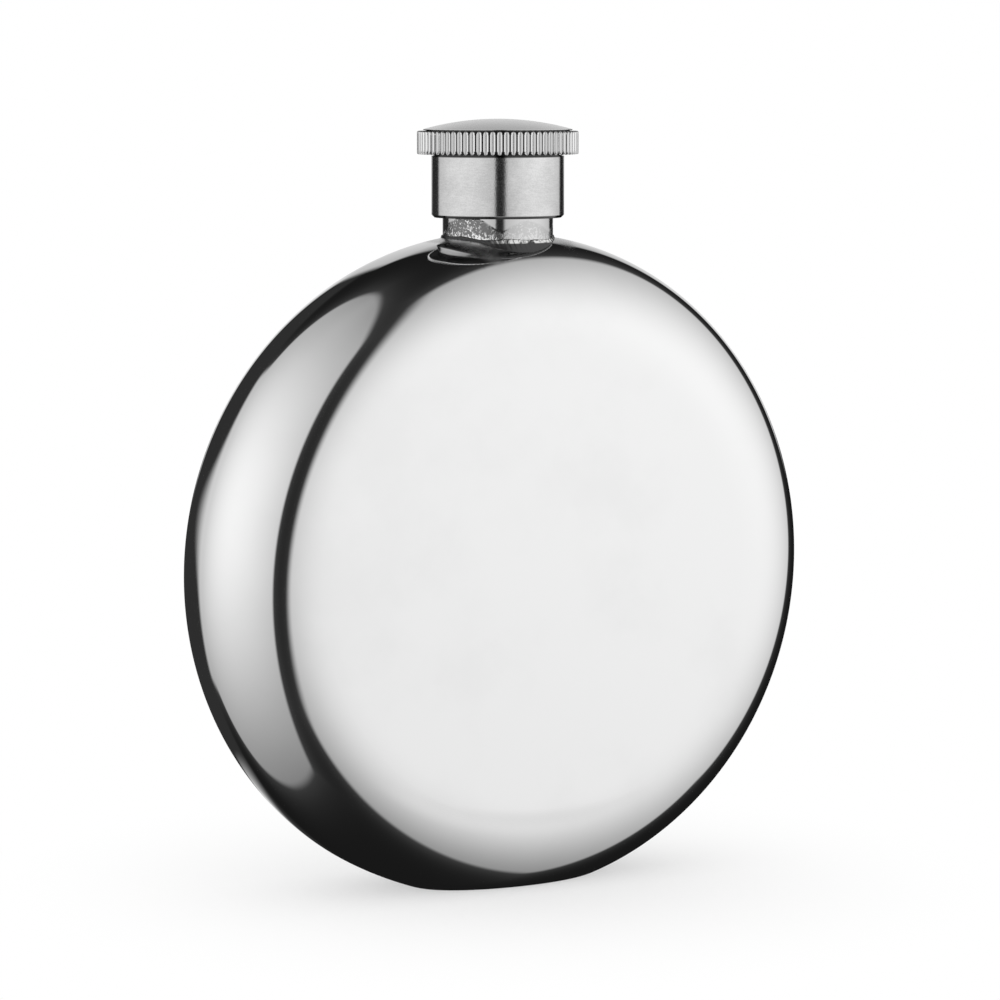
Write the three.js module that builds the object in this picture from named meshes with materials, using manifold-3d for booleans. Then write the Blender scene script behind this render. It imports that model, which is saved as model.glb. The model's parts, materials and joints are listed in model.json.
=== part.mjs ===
// Round pocket flask: two pressed steel shells, a welded neck and a screw cap of four pieces.
// Millimetres, +Z up. The origin is the middle of the standing flat and the front face looks along -Y.

import * as THREE from 'three';
import { mergeVertices } from 'three/addons/utils/BufferGeometryUtils.js';
import Module from 'manifold-3d';

// Body
const BODY_DIAMETER = 100;
const BODY_THICKNESS = 29.2; // over the crowns of both faces
const RIM_RADIUS = 10.5; // rounding next to the rim
const SHOULDER_RADIUS = 14.4; // slower rounding from there to each face
const BLEND_ANGLE = 35; // degrees of turn from the rim to where the two roundings meet
const FACE_LEAN = 1.74; // degrees that each crowned face leans where its rounding begins
const SHEET = 0.6; // wall of the pressed shells
const BASE_FLAT_DEPTH = 2.1; // segment pressed flat at the bottom, for standing

// Neck
const SHANK_DIAMETER = 16.5;
const NECK_SHOWING = 2.3; // shank between the top of the body and the cap
const SHANK_COVERED = 0.8; // shank inside the cap
const NECK_TUCK = 0.8; // neck inside the body, below the edge of its hole
const THREAD_STEP = 0.45; // from the shank down to the mean thread radius
const THREAD_LENGTH = 6.4;
const NECK_WALL = 1.8; // from the mean thread radius to the bore
const LIP_CHAMFER = 0.4;
const WELD_RADIUS = 0.8; // round bead between neck and body
const WELD_OUTSET = 0.35; // from the shank to the middle of the bead
const SEAT_GAP = 0.2; // between the neck, the shells and the bead

// Cap
const THREAD_GAP = 0.2; // from the shank to the wall of the cap's bore
const SKIRT_WALL = 1.45;
const SKIRT_CORNER = 0.7;
const CEILING = 1; // thickness of the cap over its washer
const BOSS_STEP = 3.4; // shoulder that carries the grip ring
const RING_HEIGHT = 3.45;
const RING_OVERHANG = 2.15; // grip ring beyond the skirt
const RING_FIT = 0.2; // round the boss and over it
const RIB_COUNT = 72;
const RIB_DEPTH = 0.45;
const RIB_CROWN = 0.12; // fall of a rib's face towards its flanks
const RIB_END = 0.4; // bevel on the ends of the ribs
const TOP_MARGIN = 0.9; // ring left bare round the domed top
const TOP_RISE = 1.8;
const TOP_EDGE = 0.25;
const TOP_UNDERCUT = 0.3; // shadow groove under the edge of the domed top
const WASHER_THICKNESS = 1.2;
const WASHER_LAP = 1; // washer inside the bore of the neck
const WASHER_SLIP = 0.2; // round the washer, inside the cap

// Facets
const BODY_SEGMENTS = 64;
const RIM_STEPS = 3;
const SHOULDER_STEPS = 4;
const CROWN_STEPS = 2;
const TURN_SEGMENTS = 48;
const DOME_STEPS = 5;
const CORNER_STEPS = 3;
const BEAD_STEPS = 8;
const RIB_FACES = 2; // on each half of a rib

// Radii and heights that follow from the sizes above
const bodyRadius = BODY_DIAMETER / 2;
const bodyCentre = bodyRadius - BASE_FLAT_DEPTH;
const bodyTop = bodyCentre + bodyRadius;

// The half outline of the body in radius and depth: a short land, two arcs and the crown of the face
const blend = THREE.MathUtils.degToRad(BLEND_ANGLE);
const lean = THREE.MathUtils.degToRad(FACE_LEAN);
const rimX = bodyRadius - RIM_RADIUS;
const shoulderX = rimX + (RIM_RADIUS - SHOULDER_RADIUS) * Math.cos(blend);
const crownReach = shoulderX / Math.sin(lean);
const crownDrop = crownReach * (1 - Math.cos(lean));
const shoulderY = BODY_THICKNESS / 2 - SHOULDER_RADIUS - crownDrop;
const rimY = shoulderY + (SHOULDER_RADIUS - RIM_RADIUS) * Math.sin(blend);
const crownY = shoulderY - crownReach * Math.cos(lean);

const shankRadius = SHANK_DIAMETER / 2;
const threadRadius = shankRadius - THREAD_STEP;
const boreRadius = threadRadius - NECK_WALL;
const holeRadius = shankRadius + SEAT_GAP;
const shankTop = bodyTop + NECK_SHOWING + SHANK_COVERED;
const neckTop = shankTop + THREAD_LENGTH;
const neckBottom = bodyHeight(0, holeRadius) - SHEET - NECK_TUCK;

const skirtBottom = bodyTop + NECK_SHOWING;
const skirtBore = shankRadius + THREAD_GAP;
const skirtRadius = skirtBore + SKIRT_WALL;
const washerTop = neckTop + WASHER_THICKNESS;
const shoulder = washerTop + CEILING;
const bossRadius = skirtRadius - BOSS_STEP;
const ringRadius = skirtRadius + RING_OVERHANG;
const ringTop = shoulder + RING_HEIGHT;
const topRadius = ringRadius - TOP_MARGIN;

const wasm = await Module();
wasm.setup();

// Height of the body's surface over the point x, y, within its rounded edges.
function bodyHeight(x, y) {
  const depth = Math.abs(y);
  const isShoulder = depth > rimY + RIM_RADIUS * Math.sin(blend);
  const [arcX, arcY, arcRadius] = isShoulder
    ? [shoulderX, shoulderY, SHOULDER_RADIUS]
    : [rimX, Math.min(rimY, depth), RIM_RADIUS];
  const radius = arcX + Math.sqrt(arcRadius ** 2 - (depth - arcY) ** 2);
  return bodyCentre + Math.sqrt(radius ** 2 - x ** 2);
}

// Points on an arc, both ends included; angles in radians from the first axis.
function arc(centreX, centreY, radius, from, to, steps) {
  return Array.from({ length: steps + 1 }, (_, i) => {
    const angle = from + ((to - from) * i) / steps;
    return new THREE.Vector2(centreX + radius * Math.cos(angle), centreY + radius * Math.sin(angle));
  });
}

function point(x, y) {
  return new THREE.Vector2(x, y);
}

// A solid of revolution round Z from a profile of radius and height that runs anticlockwise.
function turned(profile) {
  return new THREE.LatheGeometry(profile, TURN_SEGMENTS).rotateX(Math.PI / 2);
}

function solid(geometry) {
  const bare = geometry.clone();
  bare.deleteAttribute('normal');
  bare.deleteAttribute('uv');
  const merged = mergeVertices(bare);
  const corners = merged.index.array;
  const triVerts = [];
  for (let i = 0; i < corners.length; i += 3) {
    const [a, b, c] = corners.subarray(i, i + 3);
    if (a !== b && b !== c && c !== a) triVerts.push(a, b, c);
  }
  const vertProperties = merged.attributes.position.array;
  return new wasm.Manifold(new wasm.Mesh({ numProp: 3, vertProperties, triVerts: new Uint32Array(triVerts) }));
}

function geometryOf(cut) {
  const { vertProperties, triVerts } = cut.getMesh();
  const geometry = new THREE.BufferGeometry();
  geometry.setAttribute('position', new THREE.BufferAttribute(vertProperties, 3));
  geometry.setIndex(new THREE.BufferAttribute(triVerts, 1));
  geometry.computeVertexNormals();
  return geometry;
}

// Half outline of the body from the middle of the front face to the rim, grown by an offset.
// The three arcs run smoothly into each other.
function frontOutline(offset) {
  const down = -Math.PI / 2;
  const crownRadius = crownReach + SHOULDER_RADIUS + offset;
  const crown = arc(0, -crownY, crownRadius, down, down + lean, CROWN_STEPS);
  const rounding = arc(shoulderX, -shoulderY, SHOULDER_RADIUS + offset, down + lean, -blend, SHOULDER_STEPS);
  const rim = arc(rimX, -rimY, RIM_RADIUS + offset, -blend, 0, RIM_STEPS);
  return [...crown, ...rounding.slice(1), ...rim.slice(1)];
}

// Front half of the body as a solid, up to the plane y = reach, and its mirror image for the rear.
function bodyHalf(offset, reach, isFront) {
  const profile = [...frontOutline(offset), point(bodyRadius + offset, reach), point(0, reach)];
  profile[0].x = 0;
  const outline = isFront ? profile : profile.map((p) => point(p.x, -p.y)).reverse();
  return solid(new THREE.LatheGeometry(outline, BODY_SEGMENTS).translate(0, 0, bodyCentre));
}

// Everything below a height.
function ground(height) {
  const depth = BODY_DIAMETER;
  const slab = new THREE.BoxGeometry(2 * BODY_DIAMETER, 2 * BODY_DIAMETER, depth);
  return solid(slab.translate(0, 0, height - depth / 2));
}

// A pressed half of the body: an even wall, its own half of the neck hole and of the standing flat.
function shell(isFront) {
  const outside = bodyHalf(0, 0, isFront).subtract(ground(0));
  const inside = bodyHalf(-SHEET, BODY_THICKNESS, isFront).subtract(ground(SHEET));
  const neckHole = new THREE.CylinderGeometry(holeRadius, holeRadius, bodyRadius, TURN_SEGMENTS)
    .rotateX(Math.PI / 2)
    .translate(0, 0, bodyTop);
  return geometryOf(outside.subtract(inside).subtract(solid(neckHole)));
}

// Spout: a plain shank in the hole of the body, then the narrower threaded length and a bevelled lip.
function neck() {
  return turned([
    point(boreRadius, neckBottom),
    point(shankRadius, neckBottom),
    point(shankRadius, shankTop - LIP_CHAMFER),
    point(shankRadius - LIP_CHAMFER, shankTop),
    point(threadRadius, shankTop),
    point(threadRadius, neckTop - LIP_CHAMFER),
    point(threadRadius - LIP_CHAMFER, neckTop),
    point(boreRadius + LIP_CHAMFER, neckTop),
    point(boreRadius, neckTop - LIP_CHAMFER),
    point(boreRadius, neckBottom),
  ]);
}

// Weld: a round bead that rides up and down the saddle where the neck enters the body.
function weldBead() {
  const loopRadius = shankRadius + WELD_OUTSET;
  const bead = new THREE.TorusGeometry(loopRadius, WELD_RADIUS, BEAD_STEPS, TURN_SEGMENTS);
  const place = bead.attributes.position;
  for (let i = 0; i < place.count; i += 1) {
    const [x, y] = [place.getX(i), place.getY(i)];
    const toLoop = loopRadius / Math.hypot(x, y);
    place.setZ(i, place.getZ(i) + bodyHeight(x * toLoop, y * toLoop));
  }
  const shank = turned([point(0, 0), point(holeRadius, 0), point(holeRadius, neckTop), point(0, neckTop)]);
  const body = bodyHalf(SEAT_GAP, 0, true).add(bodyHalf(SEAT_GAP, 0, false));
  return geometryOf(solid(bead).subtract(body).subtract(solid(shank)));
}

// Threaded skirt of the cap: a cup with a rounded lower edge and a boss for the ring.
function capSkirt() {
  const cornerX = skirtRadius - SKIRT_CORNER;
  const cornerZ = skirtBottom + SKIRT_CORNER;
  return turned([
    point(0, washerTop),
    point(skirtBore, washerTop),
    point(skirtBore, skirtBottom + LIP_CHAMFER),
    point(skirtBore + LIP_CHAMFER, skirtBottom),
    ...arc(cornerX, cornerZ, SKIRT_CORNER, -Math.PI / 2, 0, CORNER_STEPS),
    point(skirtRadius, shoulder),
    point(bossRadius, shoulder),
    point(bossRadius, ringTop - RING_FIT),
    point(0, ringTop - RING_FIT),
  ]);
}

// Outline of the grip: upright ribs with crowned faces and a sharp groove between each two.
function ribbedOutline() {
  const pitch = (2 * Math.PI) / RIB_COUNT;
  const flank = RIB_FACES + 1;
  const points = [];
  for (let rib = 0; rib < RIB_COUNT; rib += 1) {
    for (let step = -flank; step < flank; step += 1) {
      const across = step / flank;
      const isGroove = step === -flank;
      const fall = isGroove ? RIB_DEPTH : RIB_CROWN * across ** 2;
      const angle = pitch * (rib + across / 2);
      points.push(point((ringRadius - fall) * Math.cos(angle), (ringRadius - fall) * Math.sin(angle)));
    }
  }
  return new THREE.Shape(points);
}

// Grip ring: a ribbed blank whose rib ends are bevelled on the lathe.
function gripRing() {
  const outline = ribbedOutline();
  const hole = new THREE.Path().absarc(0, 0, bossRadius + RING_FIT, 0, 2 * Math.PI, true);
  outline.holes.push(hole);
  const ribbed = new THREE.ExtrudeGeometry(outline, {
    depth: RING_HEIGHT,
    bevelEnabled: false,
    curveSegments: TURN_SEGMENTS / 2,
  }).translate(0, 0, shoulder);
  const blank = turned([
    point(0, shoulder),
    point(ringRadius - RIB_END, shoulder),
    point(ringRadius, shoulder + RIB_END),
    point(ringRadius, ringTop - RIB_END),
    point(ringRadius - RIB_END, ringTop),
    point(0, ringTop),
  ]);
  return geometryOf(solid(ribbed).intersect(solid(blank)));
}

// Domed top: a shallow spherical cover with a shadow groove under its edge.
function capTop() {
  const edgeTop = ringTop + 2 * TOP_EDGE;
  const rise = ringTop + TOP_RISE - edgeTop;
  const domeRadius = (topRadius ** 2 + rise ** 2) / (2 * rise);
  const domeAngle = Math.asin(topRadius / domeRadius);
  const upright = Math.PI / 2;
  const dome = arc(0, edgeTop + rise - domeRadius, domeRadius, upright - domeAngle, upright, DOME_STEPS);
  dome[DOME_STEPS].x = 0;
  return turned([
    point(0, ringTop),
    point(topRadius - TOP_UNDERCUT, ringTop),
    point(topRadius - TOP_UNDERCUT, ringTop + TOP_EDGE),
    point(topRadius, ringTop + TOP_EDGE),
    ...dome,
  ]);
}

// Sealing washer between the lip of the neck and the ceiling of the cap.
function washer() {
  const inner = boreRadius - WASHER_LAP;
  const outer = skirtBore - WASHER_SLIP;
  return turned([
    point(inner, neckTop),
    point(outer, neckTop),
    point(outer, washerTop),
    point(inner, washerTop),
    point(inner, neckTop),
  ]);
}

function piece(name, geometry, color, roughness, metalness = 1) {
  const mesh = new THREE.Mesh(geometry, new THREE.MeshStandardMaterial({ color, roughness, metalness }));
  mesh.name = name;
  return mesh;
}

const MIRROR_STEEL = 0xdcdddf;
const SATIN_STEEL = 0xc4c5c7;
const WELD_STEEL = 0xcfcfcd;
const SILICONE = 0xe6e4de;

const flask = new THREE.Group();
flask.add(piece('front_shell', shell(true), MIRROR_STEEL, 0.04));
flask.add(piece('rear_shell', shell(false), MIRROR_STEEL, 0.04));
flask.add(piece('neck_tube', neck(), MIRROR_STEEL, 0.15));
flask.add(piece('neck_weld_bead', weldBead(), WELD_STEEL, 0.35));

const cap = new THREE.Group();
cap.add(piece('cap_skirt', capSkirt(), SATIN_STEEL, 0.3));
cap.add(piece('cap_grip_ring', gripRing(), MIRROR_STEEL, 0.12));
cap.add(piece('cap_top_disc', capTop(), SATIN_STEEL, 0.32));
cap.add(piece('cap_washer', washer(), SILICONE, 0.6, 0));

const assembly = new THREE.Group();
assembly.add(flask, cap);

export default assembly;
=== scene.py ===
"""Looks of a round pocket flask: a mirror-polished body, a welded neck and a ribbed screw cap.

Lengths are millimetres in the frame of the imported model, +Z up with the front face towards -Y.
They turn into metres when a mesh is made.
"""

from __future__ import annotations

import functools
import json
import logging
import math
from dataclasses import dataclass
from enum import Enum

import bpy
import numpy as np
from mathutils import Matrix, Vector

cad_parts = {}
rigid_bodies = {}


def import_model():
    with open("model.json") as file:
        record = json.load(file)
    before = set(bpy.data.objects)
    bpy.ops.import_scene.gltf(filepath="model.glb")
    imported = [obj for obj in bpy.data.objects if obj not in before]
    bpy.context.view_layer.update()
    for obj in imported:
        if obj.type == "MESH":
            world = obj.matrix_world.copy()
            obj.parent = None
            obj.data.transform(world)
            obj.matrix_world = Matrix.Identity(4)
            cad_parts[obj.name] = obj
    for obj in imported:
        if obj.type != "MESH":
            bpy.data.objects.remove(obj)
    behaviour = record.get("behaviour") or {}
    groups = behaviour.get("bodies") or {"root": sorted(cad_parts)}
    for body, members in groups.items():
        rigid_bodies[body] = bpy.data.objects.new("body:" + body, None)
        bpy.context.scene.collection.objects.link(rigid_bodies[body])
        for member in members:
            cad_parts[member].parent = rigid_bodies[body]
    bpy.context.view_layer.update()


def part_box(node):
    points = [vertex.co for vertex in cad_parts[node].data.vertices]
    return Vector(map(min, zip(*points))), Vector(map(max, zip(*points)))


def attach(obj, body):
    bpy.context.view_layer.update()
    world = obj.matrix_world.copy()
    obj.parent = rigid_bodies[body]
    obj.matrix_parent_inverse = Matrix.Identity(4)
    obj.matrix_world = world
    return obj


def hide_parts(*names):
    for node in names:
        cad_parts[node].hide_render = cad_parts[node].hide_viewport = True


LOG = logging.getLogger("flask")
METRE = 1000.0
RADIAN = math.degrees(1.0)
ON_WALL = 1e-6
CLEANED_TURN = 81.0
CLEANED_BAND = (-0.1, 0.6)
WHITE = (1.0, 1.0, 1.0, 1.0)
Colour = tuple[float, float, float]
Pair = tuple[float, float]
Settings = dict[str, object]
Sockets = dict[str | int, object]


class Ends(Enum):
    """How the rows of a lattice come to an end."""

    LOOP = "the last row joins the first"
    POLES = "the first and the last row each shrink to one point"


@dataclass(frozen=True)
class Extent:
    """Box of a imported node, in millimetres."""

    low: np.ndarray
    high: np.ndarray

    @staticmethod
    def of(node: str) -> Extent:
        """Read the box of a node from the frame.

        Args:
            node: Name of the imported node.

        Returns:
            Its lowest and highest corner.
        """
        low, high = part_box(node)
        return Extent(np.array(low) * METRE, np.array(high) * METRE)

    @property
    def radius(self) -> float:
        """Radius of a node that was turned round Z."""
        return float(self.high[0])

    @property
    def bottom(self) -> float:
        """Lowest height."""
        return float(self.low[2])

    @property
    def top(self) -> float:
        """Greatest height."""
        return float(self.high[2])


def smooth_step(values: np.ndarray, start: float, stop: float) -> np.ndarray:
    """Ease from 0 at start to 1 at stop by the cubic 3t^2 - 2t^3.

    Args:
        values: Where to evaluate.
        start: Value that gives 0.
        stop: Value that gives 1.

    Returns:
        The eased shares.
    """
    share = np.clip((values - start) / (stop - start), 0.0, 1.0)
    return share * share * (3.0 - 2.0 * share)


def arc(centre: Pair, radius: float, start: float, stop: float, steps: int) -> np.ndarray:
    """Points on an arc, both ends included.

    Args:
        centre: Middle of the arc in radius and height.
        radius: Radius of the arc.
        start: First angle in degrees from the outward direction.
        stop: Last angle in degrees.
        steps: Number of chords.

    Returns:
        Points as rows of radius and height.
    """
    angle = np.radians(np.linspace(start, stop, steps + 1))
    return np.stack([centre[0] + radius * np.cos(angle), centre[1] + radius * np.sin(angle)], axis=1)


def straight(start: Pair, stop: Pair, steps: int) -> np.ndarray:
    """Points on a straight stretch of a profile, both ends included.

    Args:
        start: First radius and height.
        stop: Last radius and height.
        steps: Number of equal parts.

    Returns:
        Points as rows of radius and height.
    """
    return np.linspace(start, stop, steps + 1)


def once_round(columns: int) -> np.ndarray:
    """Angles of the columns of a full turn, in radians from 0."""
    return np.linspace(0.0, math.tau, columns, endpoint=False)


def turned(profile: np.ndarray, columns: int) -> np.ndarray:
    """Carry a profile round Z.

    Args:
        profile: Rows of radius and height, anticlockwise round the material.
        columns: Number of steps in a full turn.

    Returns:
        Lattice of points, one row for each point of the profile.
    """
    return from_polar(profile[:, :1], once_round(columns), profile[:, 1:])


def polar(lattice: np.ndarray) -> tuple[np.ndarray, np.ndarray, np.ndarray]:
    """Split lattice points into radius, angle and height round Z.

    Args:
        lattice: Points of a piece that is turned round Z.

    Returns:
        Radius, angle in radians and height.
    """
    x, y, z = np.moveaxis(lattice, 2, 0)
    return np.hypot(x, y), np.arctan2(y, x), z


def from_polar(radius: np.ndarray, angle: np.ndarray, height: np.ndarray) -> np.ndarray:
    """Join radius, angle and height round Z into lattice points: x = r cos a, y = r sin a, z = h.

    Args:
        radius: Distance from the axis, as a row, a column or a lattice, like the other two.
        angle: Angle in radians.
        height: Height over the base.

    Returns:
        Lattice of points.
    """
    points = np.broadcast_arrays(radius * np.cos(angle), radius * np.sin(angle), height)
    return np.stack(points, axis=2)


def lattice_mesh(name: str, lattice: np.ndarray, ends: Ends) -> bpy.types.Mesh:
    """Make a closed mesh of a lattice whose columns wrap round.

    Neighbouring rows are joined by quads. With poles, the first and last rows become single points
    that triangles join to the rows beside them. Faces turn outwards, by the sign of the volume.

    Args:
        name: Name of the mesh.
        lattice: Points in millimetres, by row and column.
        ends: How the rows end.

    Returns:
        The smooth-shaded mesh in metres.
    """
    rows, columns = lattice.shape[:2]
    number = np.arange(rows * columns).reshape(rows, columns)
    points = lattice.reshape(-1, 3)
    if ends is Ends.LOOP:
        below, above = number, np.roll(number, -1, axis=0)
        fans = np.empty((0, 3), int)
    else:
        below, above = number[1:-2], number[2:-1]
        first, last = number[0], number[-1]
        near_first, near_last = number[1], number[-2]
        fans = np.concatenate(
            [
                np.stack([np.full(columns, first[0]), np.roll(near_first, -1), near_first], axis=1),
                np.stack([near_last, np.roll(near_last, -1), np.full(columns, last[0])], axis=1),
            ]
        )
    sides = [below, np.roll(below, -1, axis=1), np.roll(above, -1, axis=1), above]
    quads = np.stack(sides, axis=2).reshape(-1, 4)
    halves = np.concatenate([quads[:, [0, 1, 2]], quads[:, [0, 2, 3]], fans])
    corners = points[halves]
    volume = np.einsum("ij,ij->", corners[:, 0], np.cross(corners[:, 1], corners[:, 2]))
    if volume < 0.0:
        quads, fans = quads[:, ::-1], fans[:, ::-1]
    used = np.unique(np.concatenate([quads.ravel(), fans.ravel()]))
    renumber = np.zeros(len(points), int)
    renumber[used] = np.arange(len(used))
    mesh = bpy.data.meshes.new(name)
    mesh.from_pydata(points[used] / METRE, [], renumber[quads].tolist() + renumber[fans].tolist())
    mesh.shade_smooth()
    return mesh


def put_in_scene(name: str, data: bpy.types.ID) -> bpy.types.Object:
    """Make an object and link it to the scene.

    Args:
        name: Name of the object.
        data: Its mesh or camera.

    Returns:
        The new object.
    """
    made = bpy.data.objects.new(name, data)
    bpy.context.scene.collection.objects.link(made)
    return made


def lay_sheet(name: str, reach: Pair, material: bpy.types.Material) -> bpy.types.Object:
    """Make a flat rectangle for the stage, level round the origin.

    Args:
        name: Name of the rectangle.
        reach: Half its length and half its width in millimetres.
        material: Its material.

    Returns:
        The new object.
    """
    square = np.array([[-1.0, -1.0, 0.0], [1.0, -1.0, 0.0], [1.0, 1.0, 0.0], [-1.0, 1.0, 0.0]])
    mesh = bpy.data.meshes.new(name)
    mesh.from_pydata(square * (*reach, 0.0) / METRE, [], [(0, 1, 2, 3)])
    mesh.materials.append(material)
    return put_in_scene(name, mesh)


@dataclass(frozen=True)
class Place:
    """Where a piece belongs: its body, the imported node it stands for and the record's finish."""

    body: str
    node: str
    slot: str


@dataclass(frozen=True)
class Noise:
    """Fractal noise: features per metre, the number of finer layers and how strong they are."""

    scale: float
    detail: float = 2.0
    roughness: float = 0.55


class NodeTree:
    """A node tree that is written as Python expressions."""

    def __init__(self, tree: bpy.types.NodeTree) -> None:
        """Take over a tree and empty it."""
        self.tree = tree
        tree.nodes.clear()

    def node(
        self, kind: str, settings: Settings | None = None, sockets: Sockets | None = None
    ) -> bpy.types.Node:
        """Add a node.

        Args:
            kind: Type of the node.
            settings: Properties, set before the sockets.
            sockets: Values or signals for the inputs, by name or number.

        Returns:
            The new node.
        """
        made = self.tree.nodes.new(kind)
        for name, value in (settings or {}).items():
            setattr(made, name, value)
        for name, value in (sockets or {}).items():
            if isinstance(value, Signal):
                self.tree.links.new(value.socket, made.inputs[name])
            else:
                made.inputs[name].default_value = value
        return made

    def signal(
        self,
        kind: str,
        settings: Settings | None = None,
        sockets: Sockets | None = None,
        output: str | int = 0,
    ) -> Signal:
        """Add a node and take one of its outputs.

        Args:
            kind: Type of the node.
            settings: Properties, set before the sockets.
            sockets: Values or signals for the inputs.
            output: Name or number of the output.

        Returns:
            The output as a signal.
        """
        return Signal(self, self.node(kind, settings, sockets).outputs[output])

    def math(self, operation: str, *operands: Signal | float) -> Signal:
        """Add a Math node.

        Args:
            operation: What the node does.
            operands: Its inputs in order.

        Returns:
            The result as a signal.
        """
        return self.signal("ShaderNodeMath", {"operation": operation}, dict(enumerate(operands)))

    def place(self) -> Signal:
        """Object coordinates in metres."""
        return self.signal("ShaderNodeTexCoord", output="Object")

    def split(self, vector: Signal) -> tuple[Signal, Signal, Signal]:
        """Take a vector apart into X, Y and Z."""
        parts = self.node("ShaderNodeSeparateXYZ", None, {0: vector}).outputs
        return Signal(self, parts[0]), Signal(self, parts[1]), Signal(self, parts[2])

    def join(self, x: Signal | float, y: Signal | float, z: Signal | float) -> Signal:
        """Put three numbers together as a vector."""
        return self.signal("ShaderNodeCombineXYZ", None, {0: x, 1: y, 2: z})

    def hypot(self, x: Signal, y: Signal) -> Signal:
        """Distance that belongs to two coordinates."""
        return self.math("SQRT", x * x + y * y)

    def dot(self, vector: Signal, other: np.ndarray) -> Signal:
        """Dot product of a vector with a constant one."""
        sockets = {0: vector, 1: other}
        return self.signal("ShaderNodeVectorMath", {"operation": "DOT_PRODUCT"}, sockets, output="Value")

    def noise(self, vector: Signal, noise: Noise) -> Signal:
        """Fractal noise round 0.5.

        Args:
            vector: Where to evaluate.
            noise: Its scale and layers.

        Returns:
            The noise as a number.
        """
        return self.signal(
            "ShaderNodeTexNoise",
            None,
            {"Vector": vector, "Scale": noise.scale, "Detail": noise.detail, "Roughness": noise.roughness},
        )

    def mix(self, share: Signal, first: Signal, second: Signal) -> Signal:
        """Mix two shaders, from the first at a share of 0 to the second at 1."""
        return self.signal("ShaderNodeMixShader", None, {"Fac": share, 1: first, 2: second})

    def close(self, shader: Signal) -> None:
        """Send a shader to the output of the material."""
        self.node("ShaderNodeOutputMaterial", None, {"Surface": shader})

    def blend(self, share: Signal, first: Signal | Colour, second: Signal | Colour) -> Signal:
        """Mix two colours.

        Args:
            share: 0 gives the first and 1 the second.
            first: Linear colour, or a signal of one.
            second: Linear colour, or a signal of one.

        Returns:
            The mixed colour.
        """
        ends = [end if isinstance(end, Signal) else (*end, 1.0) for end in (first, second)]
        sockets = {"Factor": share, 6: ends[0], 7: ends[1]}
        return self.signal("ShaderNodeMix", {"data_type": "RGBA"}, sockets, output=2)


@dataclass(frozen=True)
class Signal:
    """A socket that takes part in arithmetic, where each operator adds one Math node."""

    nodes: NodeTree
    socket: bpy.types.NodeSocket

    def __add__(self, other: Signal | float) -> Signal:
        """Sum."""
        return self.nodes.math("ADD", self, other)

    def __radd__(self, other: float) -> Signal:
        """Sum with a number first."""
        return self.nodes.math("ADD", other, self)

    def __sub__(self, other: Signal | float) -> Signal:
        """Difference."""
        return self.nodes.math("SUBTRACT", self, other)

    def __rsub__(self, other: float) -> Signal:
        """Difference with a number first."""
        return self.nodes.math("SUBTRACT", other, self)

    def __mul__(self, other: Signal | float) -> Signal:
        """Product."""
        return self.nodes.math("MULTIPLY", self, other)

    def __rmul__(self, other: float) -> Signal:
        """Product with a number first."""
        return self.nodes.math("MULTIPLY", other, self)

    def __truediv__(self, other: Signal | float) -> Signal:
        """Quotient."""
        return self.nodes.math("DIVIDE", self, other)

    def __neg__(self) -> Signal:
        """Opposite."""
        return self.nodes.math("MULTIPLY", self, -1.0)

    def ramp(self, start: Signal | float, stop: Signal | float) -> Signal:
        """Ease from 0 at start to 1 at stop.

        Args:
            start: Value that gives 0.
            stop: Value that gives 1.

        Returns:
            The eased share.
        """
        return self.nodes.signal(
            "ShaderNodeMapRange",
            {"interpolation_type": "SMOOTHSTEP"},
            {"Value": self, "From Min": start, "From Max": stop},
        )


def new_material(name: str) -> tuple[bpy.types.Material, NodeTree]:
    """Make a material with an empty tree.

    Args:
        name: Name of the material.

    Returns:
        The material, and its tree to write in.
    """
    made = bpy.data.materials.new(name)
    made.use_nodes = True
    return made, NodeTree(made.node_tree)


class Finish:
    """A finish that builds its own material."""

    name = "finish"

    @functools.cache
    def material(self) -> bpy.types.Material:
        """Build the material once: a metallic or plain surface whose details read Object coordinates.

        Returns:
            The finished material.
        """
        made, nodes = new_material(self.name)
        nodes.close(nodes.signal("ShaderNodeBsdfPrincipled", None, self.surface(nodes, nodes.place())))
        return made

    def surface(self, nodes: NodeTree, where: Signal) -> Sockets:
        """Give the sockets of the surface shader.

        Args:
            nodes: Tree of the material.
            where: Object coordinates in metres.

        Returns:
            Values and signals by socket name.
        """
        raise NotImplementedError


def bump(nodes: NodeTree, height: Signal, depth: float) -> Signal:
    """Turn a height into a normal.

    Args:
        nodes: Tree of the material.
        height: Height from 0 to 1.
        depth: Height of 1 in millimetres.

    Returns:
        The bumped normal.
    """
    sockets = {"Strength": 1.0, "Distance": depth / METRE, "Height": height}
    return nodes.signal("ShaderNodeBump", None, sockets)


def weld_side(nodes: NodeTree, turn: Signal) -> Signal:
    """Share of cleaning round the neck: two opposite sides were ground bright, and on the others the neck's
    splash and the weld get painted shade and the mirror a haze.

    Args:
        nodes: Tree of the material.
        turn: Angle round the neck in radians.

    Returns:
        0 on a side with painted shade and 1 on a ground one, from the cosine of twice the angle.
    """
    return nodes.math("COSINE", (turn + math.radians(CLEANED_TURN)) * 2.0).ramp(*CLEANED_BAND)


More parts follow.
